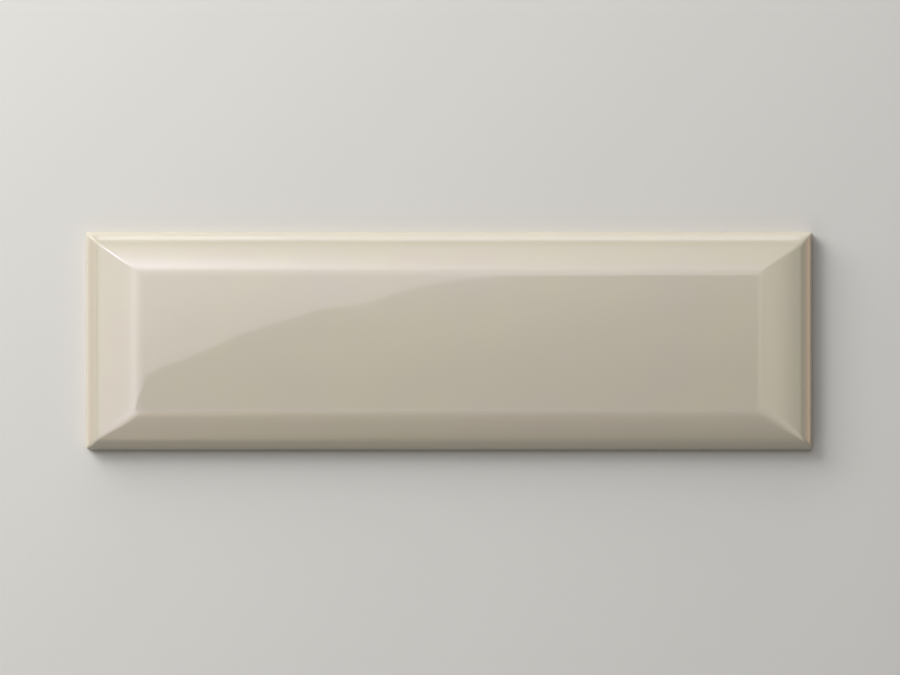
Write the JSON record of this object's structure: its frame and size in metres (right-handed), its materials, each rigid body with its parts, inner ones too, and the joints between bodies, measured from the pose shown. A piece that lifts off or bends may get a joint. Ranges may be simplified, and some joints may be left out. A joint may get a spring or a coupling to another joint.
{
  "type": "beveled tile",
  "caption": "Long rectangular glazed ceramic wall tile with a mitred beveled face, softly rolled edges and a keyed back for adhesive.",
  "frame": {"origin": "centre of the tile's back, on the plane of the keying ribs that it lies on", "axes": "+Z out of the glazed face, +X along the length, +Y across the width"},
  "size_m": [0.25, 0.075, 0.0085],
  "materials": {
    "glaze": "gloss"
  },
  "bodies": {
    "root": {"tile": "glaze"}
  },
  "joints": []
}
